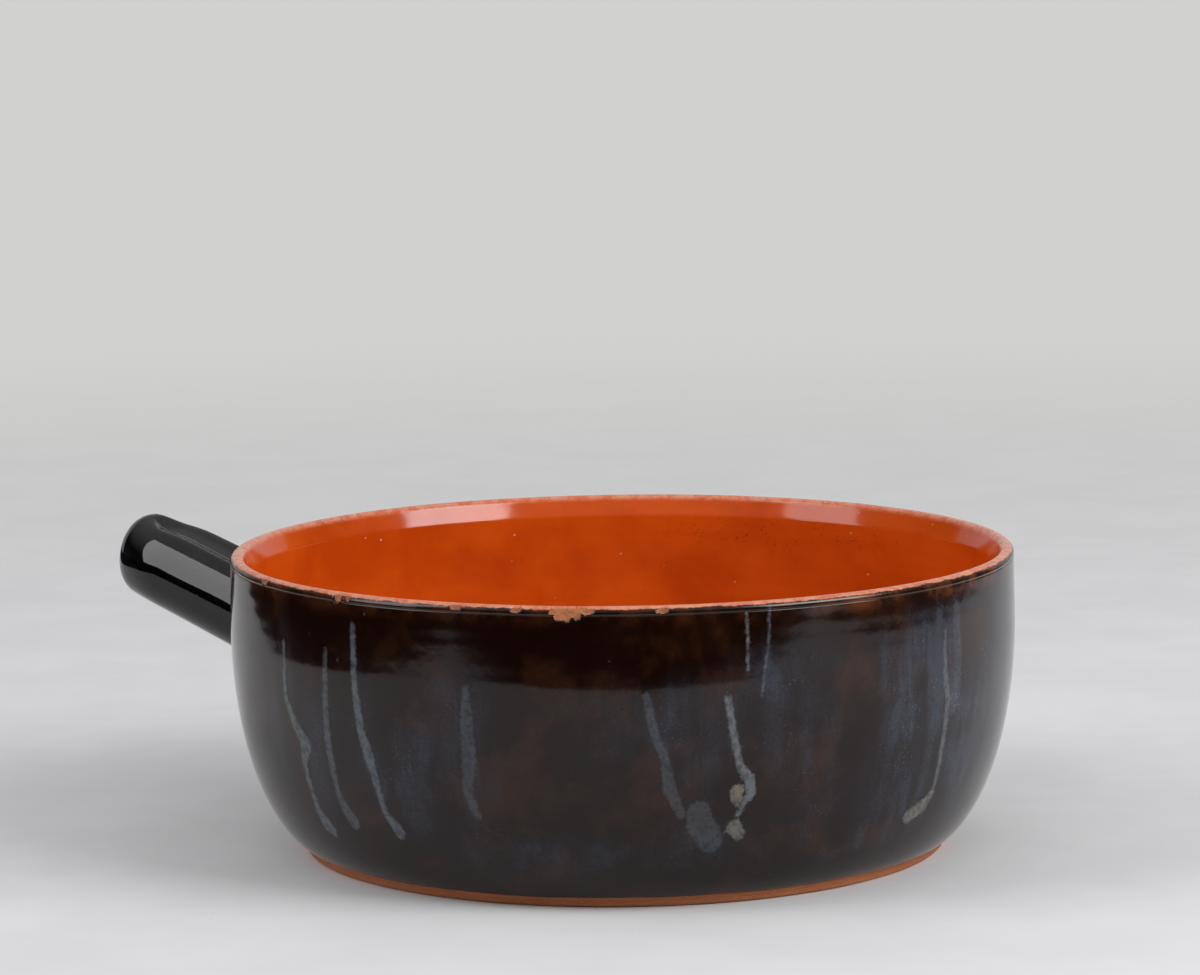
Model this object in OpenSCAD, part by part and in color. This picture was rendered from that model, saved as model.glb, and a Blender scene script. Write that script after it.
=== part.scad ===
// Glazed terracotta cooking pot with one solid stub handle, in millimetres.
// The origin is the centre of the flat underside, +Z is up, and the handle points along -X.
// Every outline is written for the finished, glazed surface; a depth below it gives the clay.

/* [Pot] */
// Diameter over the outside of the rim
rim_d = 240; // [226:2:280]
// Height from the table to the crest of the lip
pot_h = 91; // [84:1:115]
// Diameter of the foot where it stands on the table
foot_d = 196; // [170:2:206]
// Height at which the curved wall becomes upright
curve_h = 68; // [56:1:76]
// Thickness of the clay wall
wall_t = 5.6; // [4:0.2:8]
// Thickness of the clay floor
floor_t = 6.6; // [4.5:0.3:10]

/* [Foot] */
// Height of the bare clay band above the table
foot_h = 2.5; // [1.5:0.25:6]
// How far the bare band widens from the table up to the glaze
foot_taper = 1.2; // [0.4:0.2:3]
// Worn bevel around the edge that stands on the table
foot_edge = 0.6; // [0.2:0.1:1.2]

/* [Lip] */
// Distance from the outside of the rim in to the crest
crest_in = 2.7; // [2:0.1:3.4]
// Height of the rounding outside the crest
lip_out_h = 1.6; // [1.1:0.1:2.6]
// Radius of the rounding inside the crest
lip_r = 2; // [1.2:0.1:2.6]
// Height of the bevel inside the lip, down to its soft crease
bevel_h = 6.5; // [5:0.5:10]

/* [Glaze] */
// Thickness of each coat of glaze
glaze_t = 0.4; // [0.3:0.05:0.7]
// Distance from the crest down to the line where the dark coat begins
glaze_drop = 2.4; // [2:0.1:5]
// Bare ring left between the two coats at that line
glaze_gap = 0.05; // [0.05:0.05:0.5]

/* [Handle] */
// Length of the handle along its axis, from the rim's outside to the tip
handle_l = 70; // [55:1:100]
// Diameter of the handle at the wall
handle_root_d = 31.4; // [28:1:38]
// Diameter of the handle where its rounded nose begins
handle_d = 29; // [26:0.5:34]
// Length of the rounded nose
nose_l = 12; // [8:0.4:15]
// Upward tilt of the handle, in degrees
handle_tilt = 20; // [8:1:28]
// Height of the handle's axis at the rim's outside
handle_z = 57.7; // [50:1:64]

/* [Thumb groove] */
// Diameter of the groove's round floor at the wall
groove_root_d = 27; // [24:0.5:32]
// Diameter of the groove's round floor at its outer end
groove_end_d = 22.4; // [19:0.5:26]
// Depth below the round handle's top line at the wall
groove_root_depth = 6; // [4:0.5:8]
// Depth below the round handle's top line at the outer end
groove_end_depth = 4.4; // [3:0.4:6]
// Length of the groove's rounded outer end
groove_nose_l = 11; // [8:0.5:14]
// Distance from the tip of the handle back to the end of the groove
groove_stop = 8; // [6:0.5:14]

/* [Luting slip] */
// Thickness of the slip between the handle and the wall
slip_t = 0.6; // [0.3:0.1:1.2]
// Width of the slip collar around the handle
slip_w = 1.6; // [1.2:0.2:3.2]
// Height of the slip collar above the clay wall
slip_h = 2; // [1.4:0.2:3.2]

/* [Hidden] */
$fn = 180;

// Steps along each curved outline
wall_steps = 20;
bowl_steps = 20;
lip_steps = 6;
nose_steps = 12;

// A nose that is a little blunter than an ellipse
nose_power = 2.5;
// How far the root of the handle reaches inside the wall before it is cut to it
root_reach = 16;

rim_r = rim_d / 2;
foot_r = foot_d / 2;
crest_r = rim_r - crest_in;
inner_r = rim_r - wall_t - 2 * glaze_t;
glaze_line = pot_h - glaze_drop;

// The outside is a quarter ellipse that would touch the table and ends upright at curve_h
foot_angle = asin((curve_h - foot_h) / curve_h);
curve_w = (rim_r - foot_r - foot_taper) / (1 - cos(foot_angle));
curve_r = rim_r - curve_w;

handle_r0 = handle_root_d / 2;
handle_r1 = handle_d / 2;
handle_slope = (handle_r1 - handle_r0) / (handle_l - nose_l);

// The groove is the print of a round, slightly tapered bar that lies above the handle
groove_r0 = groove_root_d / 2;
groove_r1 = groove_end_d / 2;
groove_up0 = handle_r0 - groove_root_depth + groove_r0;
groove_up1 = handle_r1 - groove_end_depth + groove_r1;
groove_nose_part = sqrt(1 - pow((groove_r1 - groove_end_depth) / groove_r1, 2));
groove_l = handle_l - groove_stop - groove_nose_l * groove_nose_part;
groove_lean = atan((groove_up1 - groove_up0) / groove_l);

terracotta = [0.76, 0.40, 0.24];
slip_clay = [0.70, 0.36, 0.22];
orange_glaze = [0.83, 0.27, 0.05];
dark_glaze = [0.11, 0.06, 0.05];
black_glaze = [0.05, 0.05, 0.06];

function backwards(points) = [for (i = [len(points) - 1:-1:0]) points[i]];

// Outside wall, from the glaze's lower edge up to where the wall is upright
function outer_point(angle, depth) =
    let (nr = cos(angle) / curve_w, nz = -sin(angle) / curve_h, n = norm([nr, nz]))
    [curve_r + curve_w * cos(angle) - depth * nr / n,
     curve_h - curve_h * sin(angle) - depth * nz / n];
function outer_side(depth) =
    [for (i = [0:wall_steps]) outer_point(foot_angle * (1 - i / wall_steps), depth)];

// Lip, from the outside up to the crest
function lip_outside(depth) =
    [for (i = [0:lip_steps]) let (angle = 90 * i / lip_steps)
        [crest_r + (crest_in - depth) * cos(angle),
         pot_h - lip_out_h + (lip_out_h - depth) * sin(angle)]];

// Angle on the inner rounding where the straight bevel leaves it towards the crease
function bevel_angle(depth) =
    let (dr = inner_r + depth - crest_r, dz = lip_r - bevel_h)
    360 + atan2(dz, dr) - acos((lip_r - depth) / norm([dr, dz]));

// Lip, from the crest in and down to the crease
function lip_inside(depth) =
    let (last = bevel_angle(depth))
    concat(
        [for (i = [1:lip_steps]) let (angle = 90 + (last - 90) * i / lip_steps)
            [crest_r + (lip_r - depth) * cos(angle),
             pot_h - lip_r + (lip_r - depth) * sin(angle)]],
        [[inner_r + depth, pot_h - bevel_h]]);

// Inside wall and floor, from the upright wall down to the centre of the floor
function bowl(depth) =
    let (half_w = inner_r - curve_r + depth, half_h = curve_h - floor_t - glaze_t + depth)
    concat(
        [for (i = [0:bowl_steps]) let (angle = 90 * i / bowl_steps)
            [curve_r + half_w * cos(angle), curve_h - half_h * sin(angle)]],
        [[0, curve_h - half_h]]);

// Outline of the handle about its axis, grown by extra
function handle_outline(extra) = concat(
    [[0, -root_reach], [handle_r0 + extra - handle_slope * root_reach, -root_reach]],
    [for (i = [0:nose_steps]) let (angle = 90 * i / nose_steps)
        [i == nose_steps ? 0 : (handle_r1 + extra) * cos(angle),
         handle_l - nose_l + (nose_l + extra) * pow(sin(angle), 2 / nose_power)]]);

// Outline of the bar that prints the groove, shrunk by extra
function groove_outline(extra) =
    let (slope = (groove_r1 - groove_r0) / groove_l, start = -2 * root_reach)
    concat(
        [[0, start], [groove_r0 - extra + slope * start, start]],
        [for (i = [0:nose_steps]) let (angle = 90 * i / nose_steps)
            [i == nose_steps ? 0 : (groove_r1 - extra) * cos(angle),
             groove_l + (groove_nose_l - extra) * sin(angle)]]);

// Everything inside the outer face of the clay wall, grown by extra
module wall_form(extra) {
    depth = glaze_t - extra;
    rotate_extrude()
        polygon(concat(
            [[0, outer_point(foot_angle, depth)[1]]],
            outer_side(depth),
            [[rim_r - depth, pot_h], [0, pot_h]]));
}

// Carries its children to the handle: their Z runs along its axis and their X points up
module at_handle() {
    translate([-rim_r, 0, handle_z])
        rotate([0, handle_tilt - 90, 0])
            children();
}

// The grooved handle, grown by extra and running on inside the wall
module handle_form(extra) {
    at_handle()
        difference() {
            rotate_extrude()
                polygon(handle_outline(extra));
            translate([groove_up0, 0, 0])
                rotate([0, groove_lean, 0])
                    rotate_extrude()
                        polygon(groove_outline(extra));
        }
}

// The collar of slip around the handle's root, grown by extra
module collar_form(extra) {
    intersection() {
        handle_form(slip_w + extra);
        wall_form(slip_h + extra);
    }
}

// Thrown vessel of fired clay
module body() {
    color(terracotta)
        rotate_extrude()
            polygon(concat(
                [[0, 0], [foot_r - foot_edge, 0], [foot_r, foot_edge]],
                outer_side(glaze_t),
                lip_outside(glaze_t),
                lip_inside(glaze_t),
                bowl(glaze_t)));
}

// Solid clay stub handle, its root cut to the wall with room for the slip
module handle() {
    color(terracotta)
        difference() {
            handle_form(0);
            wall_form(slip_t);
        }
}

// Slip that lutes the handle on: a bed under the root and a collar around it
module handle_slip() {
    color(slip_clay)
        difference() {
            collar_form(0);
            wall_form(0);
            handle();
        }
}

// Clear orange coat over the floor, the inside wall and the lip
module inner_glaze() {
    color(orange_glaze)
        rotate_extrude()
            polygon(concat(
                [[rim_r - glaze_t, glaze_line], [rim_r, glaze_line]],
                lip_outside(0),
                lip_inside(0),
                bowl(0),
                backwards(bowl(glaze_t)),
                backwards(lip_inside(glaze_t)),
                backwards(lip_outside(glaze_t))));
}

// Dark coat over the outside wall, open where the handle is luted on
module outer_glaze() {
    color(dark_glaze)
        difference() {
            rotate_extrude()
                polygon(concat(
                    outer_side(0),
                    [[rim_r, glaze_line - glaze_gap], [rim_r - glaze_t, glaze_line - glaze_gap]],
                    backwards(outer_side(glaze_t))));
            handle_form(slip_w + glaze_t);
        }
}

// Black coat over the handle and its collar of slip
module handle_glaze() {
    color(black_glaze)
        difference() {
            union() {
                handle_form(glaze_t);
                collar_form(glaze_t);
            }
            handle_form(0);
            collar_form(0);
            wall_form(0);
        }
}

body();
handle();
handle_slip();
inner_glaze();
outer_glaze();
handle_glaze();
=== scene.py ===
"""Looks of a glazed terracotta cooking pot with one solid stub handle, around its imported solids.

Shapes are worked out in millimetres, as in the source of the solids, and become metres in a mesh.
A place on the wall is given by its angle in degrees, to the right of the photographed front as
the camera sees it, and its height in mm.
"""

import itertools
import math

import bpy
import numpy as np
from mathutils import Matrix, Vector


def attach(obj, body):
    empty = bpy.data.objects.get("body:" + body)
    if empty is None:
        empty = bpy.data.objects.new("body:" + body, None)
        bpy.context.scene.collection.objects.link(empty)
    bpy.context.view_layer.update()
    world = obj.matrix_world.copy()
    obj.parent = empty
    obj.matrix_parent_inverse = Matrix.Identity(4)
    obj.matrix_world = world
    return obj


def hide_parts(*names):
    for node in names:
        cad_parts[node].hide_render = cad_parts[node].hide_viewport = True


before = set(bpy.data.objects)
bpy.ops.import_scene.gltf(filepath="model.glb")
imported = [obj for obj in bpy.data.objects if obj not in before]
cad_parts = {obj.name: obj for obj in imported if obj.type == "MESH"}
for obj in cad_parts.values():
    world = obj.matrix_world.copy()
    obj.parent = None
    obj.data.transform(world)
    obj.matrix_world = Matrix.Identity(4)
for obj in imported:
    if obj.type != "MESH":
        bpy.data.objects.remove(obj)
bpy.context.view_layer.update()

MM = 0.001

# The photographed front is turned by this about +Z from the row's own front
FRONT_TURN = 30.0

# Camera, fitted to the rim, the foot and the handle
LENS = 143.98
CAMERA_DISTANCE = 1454.6
CAMERA_HEIGHT = 303.9
CAMERA_PITCH = 0.1331
CAMERA_YAW = -0.0044
CAMERA_ROLL = -0.0134

# Sizes, as in the source of the solids
RIM_R = 120.0
POT_H = 91.0
FOOT_R = 98.0
CURVE_H = 68.0
WALL_T = 5.6
FLOOR_T = 6.6
FOOT_H = 2.5
FOOT_TAPER = 1.2
FOOT_EDGE = 0.6
CREST_IN = 2.7
CREST_R = RIM_R - CREST_IN
LIP_OUT_H = 1.6
LIP_R = 2.0
BEVEL_H = 6.5
GLAZE_T = 0.4
GLAZE_LINE = 88.6
GLAZE_GAP = 0.05
HANDLE_L = 70.0
HANDLE_R0 = 15.7
HANDLE_R1 = 14.5
HANDLE_TILT = math.radians(20)
HANDLE_Z = 57.7
NOSE_L = 12.0
NOSE_POWER = 2.5
SIDE_NOSE_L = 22.0
GROOVE_R0 = 13.5
GROOVE_R1 = 11.2
GROOVE_UP0 = 23.2
GROOVE_UP1 = 21.3
GROOVE_L = 53.3
GROOVE_NOSE_L = 11.0
SLIP_T = 0.6

# How the real pot departs a little from the plain solids
SHOULDER_TOP_IN = 0.35
SHOULDER_FROM = 82.5
CROWN_DROP = 1.6
RIDGE_ROUND = 2.0
ROOT_ROUND = 5.5
SKIRT_SINK = 0.25
SKIRT_R = 23.0


def smooth(low, high, x):
    """0 at low, 1 at high, with a soft start and end."""
    t = np.clip((x - low) / (high - low), 0, 1)
    return t * t * (3 - 2 * t)


def soft_min(a, b, width):
    h = np.clip(0.5 + 0.5 * (b - a) / width, 0, 1)
    return b + (a - b) * h - width * h * (1 - h)


def noise(points, cell, seed):
    """Smooth noise from -1 to 1 at points of shape (..., 3), with features about cell across."""
    size = 32
    grid = np.random.default_rng(seed).uniform(-1, 1, (size, size, size))
    scaled = points / cell
    low = np.floor(scaled).astype(int)
    part = scaled - low
    part = part * part * (3 - 2 * part)
    total = 0
    for corner in itertools.product((0, 1), repeat=3):
        weight = 1
        for axis in range(3):
            weight = weight * (part[..., axis] if corner[axis] else 1 - part[..., axis])
        index = (low + np.array(corner)) % size
        total = total + weight * grid[index[..., 0], index[..., 1], index[..., 2]]
    return total


# ------------------------------------------------------------------ the vessel's glazed outline


def arc(cx, cz, rx, rz, start, end, count=120):
    """Points (r, z) on an ellipse, its angles in radians from the outward direction up."""
    angle = np.linspace(start, end, count)
    return np.stack([cx + rx * np.cos(angle), cz + rz * np.sin(angle)], 1)


def skin_outline():
    """The glazed outline, every 0.1 mm: up the outside from the foot band, over the lip, down the
    inside, and along the floor to its centre."""
    foot_angle = math.asin((CURVE_H - FOOT_H) / CURVE_H)
    curve_w = (RIM_R - FOOT_R - FOOT_TAPER) / (1 - math.cos(foot_angle))
    curve_r = RIM_R - curve_w
    inner_r = RIM_R - WALL_T - 2 * GLAZE_T
    wall = arc(curve_r, CURVE_H, curve_w, CURVE_H, -foot_angle, 0)
    lip_out = arc(CREST_R, POT_H - LIP_OUT_H, CREST_IN, LIP_OUT_H, 0, math.pi / 2)
    bevel_r, bevel_z = inner_r - CREST_R, LIP_R - BEVEL_H
    last = 2 * math.pi + math.atan2(bevel_z, bevel_r) - math.acos(LIP_R / math.hypot(bevel_r, bevel_z))
    lip_in = arc(CREST_R, POT_H - LIP_R, LIP_R, LIP_R, math.pi / 2, last)
    crease = [[inner_r, POT_H - BEVEL_H]]
    bowl = arc(curve_r, CURVE_H, inner_r - curve_r, CURVE_H - FLOOR_T - GLAZE_T, 0, -math.pi / 2)
    line = np.concatenate([wall, lip_out, lip_in, crease, bowl, [[0, FLOOR_T + GLAZE_T]]])

    # The wall draws in a little towards the lip
    outside = np.arange(len(line)) < len(wall) + len(lip_out)
    share = smooth(CREST_R, RIM_R, line[:, 0])
    line[:, 0] -= np.where(outside, SHOULDER_TOP_IN * share * smooth(SHOULDER_FROM, POT_H, line[:, 1]), 0)

    step = 0.1
    lengths = np.concatenate([[0], np.cumsum(np.hypot(*np.diff(line, axis=0).T))])
    at = np.arange(0, lengths[-1], step)
    fine = np.stack([np.interp(at, lengths, line[:, k]) for k in (0, 1)], 1)
    kernel = np.hanning(13)[1:-1]
    kernel /= kernel.sum()
    half = len(kernel) // 2
    rounded = fine.copy()
    for k in (0, 1):
        rounded[half:-half, k] = np.convolve(fine[:, k], kernel, "valid")
    slope = np.gradient(rounded, at, axis=0)
    slope /= np.hypot(*slope.T)[:, None]
    return at, rounded, np.stack([slope[:, 1], -slope[:, 0]], 1)


S, SKIN, SKIN_NORMAL = skin_outline()
CREST_AT = int(np.argmax(SKIN[:, 1]))
S_CREST = S[CREST_AT]
S_LINE = float(np.interp(GLAZE_LINE, SKIN[:CREST_AT, 1], S[:CREST_AT]))
S_CREASE = S_CREST + 8.4
S_FLOOR = float(S[np.argmax((S > S_CREST) & (SKIN[:, 0] < 84))])


def height_at(s):
    return np.interp(s, S, SKIN[:, 1])


def wall_radius(z):
    return np.interp(z, SKIN[:CREST_AT, 1], SKIN[:CREST_AT, 0])


def row_angle(degrees):
    """Azimuth in the row's frame, in radians, of an angle to the right of the photographed front."""
    return np.radians(np.asarray(degrees, float) - 90 + FRONT_TURN)


# Chips in the lip: angle, height, and half sizes along the lip, upwards and into the wall
CHIPS = [
    (-7.6, 89.9, 5.2, 2.7, 2.3),
    (-5.0, 90.2, 2.8, 1.5, 1.8),
    (-43.4, 89.9, 1.9, 1.5, 1.6),
    (-41.6, 90.2, 1.5, 1.2, 1.5),
    (-62.0, 90.0, 1.6, 1.2, 1.4),
    (5.4, 90.2, 1.6, 1.3, 1.3),
    (-23.5, 90.3, 1.7, 0.8, 1.2),
    (-14.6, 90.3, 1.4, 0.9, 1.2),
    (112.0, 89.8, 3.4, 2.0, 1.9),
    (171.0, 90.0, 2.2, 1.5, 1.6),
    (-128.0, 90.0, 2.6, 1.6, 1.6),
]


def chip_field(points):
    """Millimetres from the edge of the nearest chip, negative inside it."""
    nearest = np.full(points.shape[:-1], 9.0)
    near = (points[..., 2] > 84) & (np.hypot(points[..., 0], points[..., 1]) > 114)
    p = points[near]
    field = np.full(len(p), 9.0)
    rough = 0.45 * noise(p, 1.6, 11) + 0.25 * noise(p, 0.7, 12)
    for degrees, z, along, up, deep in CHIPS:
        angle = float(row_angle(degrees))
        out = np.array([math.cos(angle), math.sin(angle), 0])
        side = np.array([-math.sin(angle), math.cos(angle), 0])
        centre = out * (float(wall_radius(z)) + 0.2) + np.array([0, 0, z])
        q = p - centre
        size = np.sqrt((q @ side / along) ** 2 + (q[:, 2] / up) ** 2 + (q @ out / deep) ** 2)
        field = np.minimum(field, (size - 1) * min(along, up, deep) + rough)
    nearest[near] = field
    return nearest


def ring_marks(s, points):
    """Very low rings and hollows that the wheel and the hand leave, in mm."""
    inside = smooth(S_CREASE, S_CREASE + 6, s)
    rings = np.sin(s * 1.25 + 0.6 * noise(points, 60.0, 3)) * (0.004 + 0.016 * inside)
    return rings + noise(points, 45.0, 1) * 0.07 + noise(points, 16.0, 2) * (0.012 + 0.02 * inside)


# Runs of glaze: (angle, height, half width in mm) from top to bottom, then strength and warmth
RUNS = [
    ([(-56, 74, 0.7), (-56, 57, 0.9), (-54, 49.5, 1.6), (-52, 44, 2.6), (-53.3, 38, 1.2),
      (-53, 29, 1.0), (-52.8, 23, 1.6), (-51.8, 19.5, 2.9), (-50.8, 17.5, 1.8)], 0.62, 0.10),
    ([(-46, 74, 0.8), (-46.6, 47, 1.4), (-46.4, 31, 1.1), (-45.6, 26, 1.9), (-44.6, 22.5, 2.4)], 0.45, 0.05),
    ([(-40.5, 82, 0.9), (-40.3, 66, 1.1), (-39.6, 52, 1.4), (-38.6, 44, 1.9), (-38, 37, 1.3),
      (-37.4, 27, 0.9), (-36.2, 24, 1.6), (-35.6, 21.5, 2.2)], 0.72, 0.05),
    ([(-22, 67, 0.9), (-22, 57, 2.0), (-22, 46, 2.2), (-22.6, 36, 1.3), (-21.5, 29, 1.2)], 0.30, 0.0),
    ([(3, 66, 1.0), (4.2, 54, 1.2), (5.6, 47, 1.2), (6.2, 38, 1.9), (8, 30, 1.2)], 0.34, 0.0),
    ([(10.5, 30.5, 3.6), (10.8, 27, 4.2), (12.5, 21.5, 3.6)], 0.30, 0.0),
    ([(14.3, 64, 0.9), (15.3, 51, 1.0), (16.2, 44, 1.1), (17.6, 40, 1.6), (17.9, 35.5, 1.5),
      (16.9, 32.5, 0.8), (16.2, 29, 0.7)], 0.95, 0.25),
    ([(15.9, 36.5, 2.0), (15.9, 33.8, 1.5)], 0.80, 0.9),
    ([(15.9, 25.2, 2.5), (16.6, 23.2, 1.8)], 0.80, 0.6),
    ([(17.0, 88, 0.28), (17.2, 80, 0.3), (17.1, 72, 0.2)], 0.95, 0.3),
    ([(20.4, 90, 0.3), (20.1, 79, 0.22), (19.0, 64, 0.16)], 0.7, 0.1),
    ([(51.5, 76, 0.5), (51.4, 66, 0.8), (51.6, 61.5, 1.2), (52.5, 55.5, 1.2), (52.2, 42, 1.0),
      (52.2, 29, 0.8)], 0.60, 0.2),
    ([(52.0, 27, 1.2), (50.6, 23.5, 2.2), (47.6, 21.3, 2.3)], 0.78, 0.75),
    ([(54.5, 82, 1.8), (54.6, 66, 2.2), (54.0, 52, 1.6)], 0.22, 0.0),
]

# Clouds of haze: angle, height, half width in degrees, half height in mm, strength. The haze is the glaze's own bluish
# film and, where it is strongest on the right, partly a painted reflection of the pale table.
HAZE_AND_REFLECTION_CLOUDS = [
    (-56, 60, 4, 20, 0.35), (-50, 42, 6, 20, 0.40), (-40, 50, 5, 20, 0.35), (-33, 36, 5, 14, 0.62),
    (-30, 46, 4, 12, 0.35), (-22, 42, 4, 18, 0.60), (-26, 66, 7, 6, 0.25), (-13, 18, 9, 6, 0.55),
    (-4, 55, 5, 16, 0.15), (1, 17, 10, 5, 0.35), (8, 58, 5, 8, 0.75), (9, 44, 4, 16, 0.40),
    (13, 21, 6, 5, 0.55), (15, 60, 3, 10, 0.40), (21, 69, 3, 8, 0.85), (25, 48, 6, 18, 0.45),
    (24, 72, 5, 6, 0.45), (30, 30, 5, 14, 0.30), (41, 66, 4, 12, 0.70), (44, 50, 5, 18, 0.85),
    (49, 72, 5, 10, 0.85), (52, 56, 6, 20, 0.90), (58, 44, 6, 22, 0.75), (56, 76, 6, 9, 0.70),
    (47, 26, 8, 10, 0.60), (64, 60, 6, 22, 0.60), (60, 24, 8, 9, 0.45), (70, 50, 6, 26, 0.50),
    (36, 16, 10, 5, 0.35), (-62, 40, 5, 20, 0.25),
]


def seeded_runs():
    """Runs and clouds of the same kind for the sides that the photograph doesn't show."""
    rng = np.random.default_rng(7)
    runs, clouds = [], []
    for degrees in np.arange(86, 296, 11.0):
        start = degrees + rng.uniform(-4, 4)
        top = rng.uniform(60, 84)
        low = rng.uniform(18, 42)
        width = rng.uniform(0.5, 1.2)
        points = []
        for t in np.linspace(0, 1, 6):
            drift = rng.uniform(-0.8, 0.8)
            swell = width * rng.uniform(0.8, 1.5)
            points.append((start + drift, top + (low - top) * t, swell))
        points.append((points[-1][0], low - 4, width * rng.uniform(1.8, 2.8)))
        runs.append((points, rng.uniform(0.2, 0.7), rng.uniform(0, 0.4)))
    for degrees in np.arange(78, 296, 6.0):
        clouds.append((degrees + rng.uniform(-5, 5), rng.uniform(14, 76), rng.uniform(3, 8),
                       rng.uniform(6, 22), rng.uniform(0.15, 0.8)))
    return runs, clouds


MORE_RUNS, MORE_CLOUDS = seeded_runs()


def front_degrees(theta):
    """The row azimuth theta as degrees to the right of the photographed front, from -110 to 250."""
    degrees = np.degrees(theta) + 90 - FRONT_TURN
    return (degrees + 110) % 360 - 110


def run_fields(theta, z):
    """For each point of the wall: mm from the edge of the nearest run, negative inside, then that
    run's strength and warmth."""
    degrees = front_degrees(theta)
    edge = np.full(theta.shape, 6.0)
    strength = np.zeros(theta.shape)
    warmth = np.zeros(theta.shape)
    for points, gain, warm in RUNS + MORE_RUNS:
        for (a0, z0, w0), (a1, z1, w1) in zip(points, points[1:]):
            x0, x1 = math.radians(a0) * RIM_R, math.radians(a1) * RIM_R
            x = np.radians(degrees) * RIM_R
            dx, dz = x1 - x0, z1 - z0
            t = np.clip(((x - x0) * dx + (z - z0) * dz) / (dx * dx + dz * dz), 0, 1)
            far = np.hypot(x - x0 - t * dx, z - z0 - t * dz) - (w0 + (w1 - w0) * t)
            nearer = far < edge
            edge = np.where(nearer, far, edge)
            strength = np.where(nearer, gain, strength)
            warmth = np.where(nearer, warm, warmth)
    return edge, strength, warmth


# The haze's strength: the glaze's own film, and on the right partly a painted reflection of the pale table.
def haze_and_reflection_field(theta, z):
    degrees = front_degrees(theta)
    total = np.zeros(theta.shape)
    for a, height, half_a, half_z, strength in HAZE_AND_REFLECTION_CLOUDS + MORE_CLOUDS:
        total = total + strength * np.exp(-(((degrees - a) / half_a) ** 2) - ((z - height) / half_z) ** 2)
    return np.clip(total, 0, 1.4)


def skin_points(s, theta, depth=0.0, relief=0.0):
    """Points of the vessel's surface at outline lengths s and azimuths theta, that deep below the
    glazed surface."""
    r, z = np.interp(s, S, SKIN[:, 0]), np.interp(s, S, SKIN[:, 1])
    nr, nz = np.interp(s, S, SKIN_NORMAL[:, 0]), np.interp(s, S, SKIN_NORMAL[:, 1])
    flat = np.stack([r * np.cos(theta), r * np.sin(theta), z], -1)
    normal = np.stack([nr * np.cos(theta), nr * np.sin(theta), nz], -1)
    # The marks fade out at the very centre of the floor, where all columns meet
    marks = ring_marks(s, flat) * smooth(0, 12, r)
    return flat + normal * np.expand_dims(marks + relief - depth, -1), flat


def chip_depth(field):
    """How far a chip sinks the clay below its plain surface."""
    return 1.15 * np.clip(-field / 1.6, 0, 1) ** 0.7


def lengthwise(zones):
    """Outline lengths from zones of (start, end, step)."""
    parts = []
    for start, end, step in zones:
        count = max(1, round((end - start) / step))
        parts.append(np.linspace(start, end, count, endpoint=False))
    return np.concatenate(parts + [[zones[-1][1]]])


def columns():
    """Azimuths of the mesh's columns: closer together at the front, at chips and at thin runs."""
    degrees = np.linspace(-110, 250, 36001)
    density = np.full(degrees.shape, 1 / 0.85)
    density += smooth(78, 70, np.abs(degrees)) * (1 / 0.5 - 1 / 0.85)
    for a, _, along, _, _ in CHIPS:
        half = math.degrees(along / RIM_R) + 0.4
        density += smooth(half + 0.8, half, np.abs(degrees - a)) * (1 / 0.16)
    for a in (17.1, 20.0):
        density += smooth(1.2, 0.7, np.abs(degrees - a)) * (1 / 0.2)
    total = np.concatenate([[0], np.cumsum((density[1:] + density[:-1]) / 2 * np.diff(degrees))])
    count = int(round(total[-1]))
    return row_angle(np.interp(np.arange(count) * total[-1] / count, total, degrees))


THETA = columns()


# ------------------------------------------------------------------ meshes from rows of points


def tube(rows, loop=False, first=None, last=None):
    """Vertices and faces of a surface through rows of points, closed around, with a point at the
    first or last end, or joined from the last row back to the first."""
    count, around = rows.shape[:2]
    index = np.arange(count * around).reshape(count, around)
    if loop:
        index = np.concatenate([index, index[:1]])
    after = np.roll(index, -1, axis=1)
    quads = np.stack([index[:-1], after[:-1], after[1:], index[1:]], -1).reshape(-1, 4)
    vertices, faces = [rows.reshape(-1, 3)], quads.tolist()
    total = count * around
    for point, ring, turned in ((first, 0, True), (last, -1, False)):
        if point is not None:
            vertices.append(np.array(point, float).reshape(1, 3))
            a, b = index[ring], after[ring]
            if turned:
                a, b = b, a
            faces += np.stack([a, b, np.full(around, total)], 1).tolist()
            total += 1
    return np.concatenate(vertices), faces


def add_piece(name, vertices, faces, material, replaced, fields=None):
    """A smooth mesh piece from points in mm, which stands for a CAD node."""
    mesh = bpy.data.meshes.new(name)
    mesh.from_pydata((vertices * MM).tolist(), [], faces)
    for field, values in (fields or {}).items():
        attribute = mesh.attributes.new(field, "FLOAT", "POINT")
        padded = np.zeros(len(vertices), np.float32)
        padded[: len(values)] = values
        attribute.data.foreach_set("value", padded)
    mesh.polygons.foreach_set("use_smooth", np.ones(len(mesh.polygons), bool))
    mesh.update()
    mesh.materials.append(material)
    piece = bpy.data.objects.new(name, mesh)
    bpy.context.scene.collection.objects.link(piece)
    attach(piece, "root")
    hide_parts(replaced)
    return piece


# ------------------------------------------------------------------ the handle's form


def from_handle(t, u, v):
    """Row points from lengths along the handle's axis, up across it, and to its side."""
    c, n = math.cos(HANDLE_TILT), math.sin(HANDLE_TILT)
    return np.stack([-RIM_R - c * t + n * u, v + 0 * t, HANDLE_Z + n * t + c * u], -1)


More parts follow.
